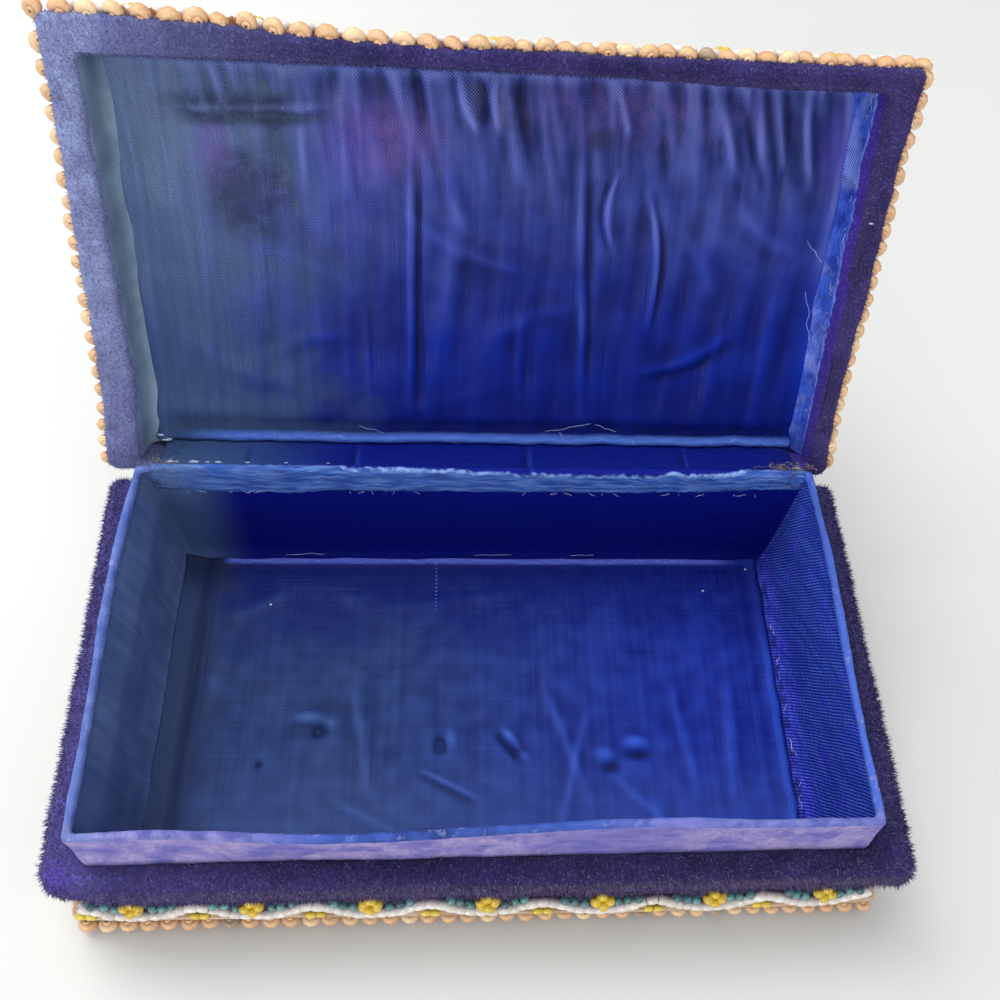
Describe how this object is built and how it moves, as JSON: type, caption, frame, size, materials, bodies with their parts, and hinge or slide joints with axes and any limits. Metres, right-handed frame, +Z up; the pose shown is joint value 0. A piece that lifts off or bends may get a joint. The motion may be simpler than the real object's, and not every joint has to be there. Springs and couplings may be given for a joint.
{
  "type": "beaded trinket box",
  "caption": "Small velvet-covered card box with a satin tray and a cloth-hinged lid, edged with snail shells and seed beads.",
  "frame": {"origin": "middle of the foot board's underside", "axes": "+Z up, +X to the right seen from the front, +Y towards the hinge"},
  "size_m": [0.1512, 0.1289, 0.102],
  "materials": {
    "velvet": "worn blue-violet velvet pile, faded to mauve along its edges",
    "satin": "royal blue satin lining with a fine weave, creased and faded in places",
    "satin_tape": "light blue satin turned over the rims and hinge, frayed",
    "card": "bare pale brown card edge",
    "board": "dull brown card bottom",
    "snail_shell": "semi-matt tan and cream snail shells",
    "white_bead": "glossy opaque white seed beads",
    "yellow_bead": "glossy opaque yellow seed beads",
    "teal_bead": "glossy teal seed beads",
    "green_bead": "glossy yellow-green seed beads",
    "thread": "loose pale threads and old white glue"
  },
  "bodies": {
    "base": {"base_walls": "velvet", "card_ledge": "card", "foot_board": "board", "tray": "satin", "tray_floor_pad": "satin", "hinge_tape_base": "satin_tape", "foot_shells_back": "snail_shell", "foot_shells_front": "snail_shell", "foot_shells_left": "snail_shell", "foot_shells_right": "snail_shell", "bead_wave_front": "white_bead", "bead_wave_left": "white_bead", "bead_wave_right": "white_bead", "flower_front_1": "yellow_bead", "flower_front_2": "yellow_bead", "flower_front_3": "yellow_bead", "flower_front_4": "yellow_bead", "flower_front_5": "yellow_bead", "flower_front_6": "yellow_bead", "flower_front_7": "yellow_bead", "flower_left_1": "yellow_bead", "flower_left_2": "yellow_bead", "flower_left_3": "yellow_bead", "flower_left_4": "yellow_bead", "flower_right_1": "yellow_bead", "flower_right_2": "yellow_bead", "flower_right_3": "yellow_bead", "flower_right_4": "yellow_bead"},
    "lid": {"lid_shell": "velvet", "lid_lining": "satin", "hinge_tape_lid": "satin_tape", "lid_shells_front": "snail_shell", "lid_shells_left": "snail_shell", "lid_shells_right": "snail_shell", "lid_bead_wave_front": "white_bead", "lid_bead_wave_left": "white_bead", "lid_bead_wave_right": "white_bead"}
  },
  "joints": [
    {"name": "lid_hinge", "type": "hinge", "parent": "base", "child": "lid", "pos_m": [0, 0.04135, 0.0256], "axis": [1, 0, 0], "range_deg": [0, 114]}
  ]
}
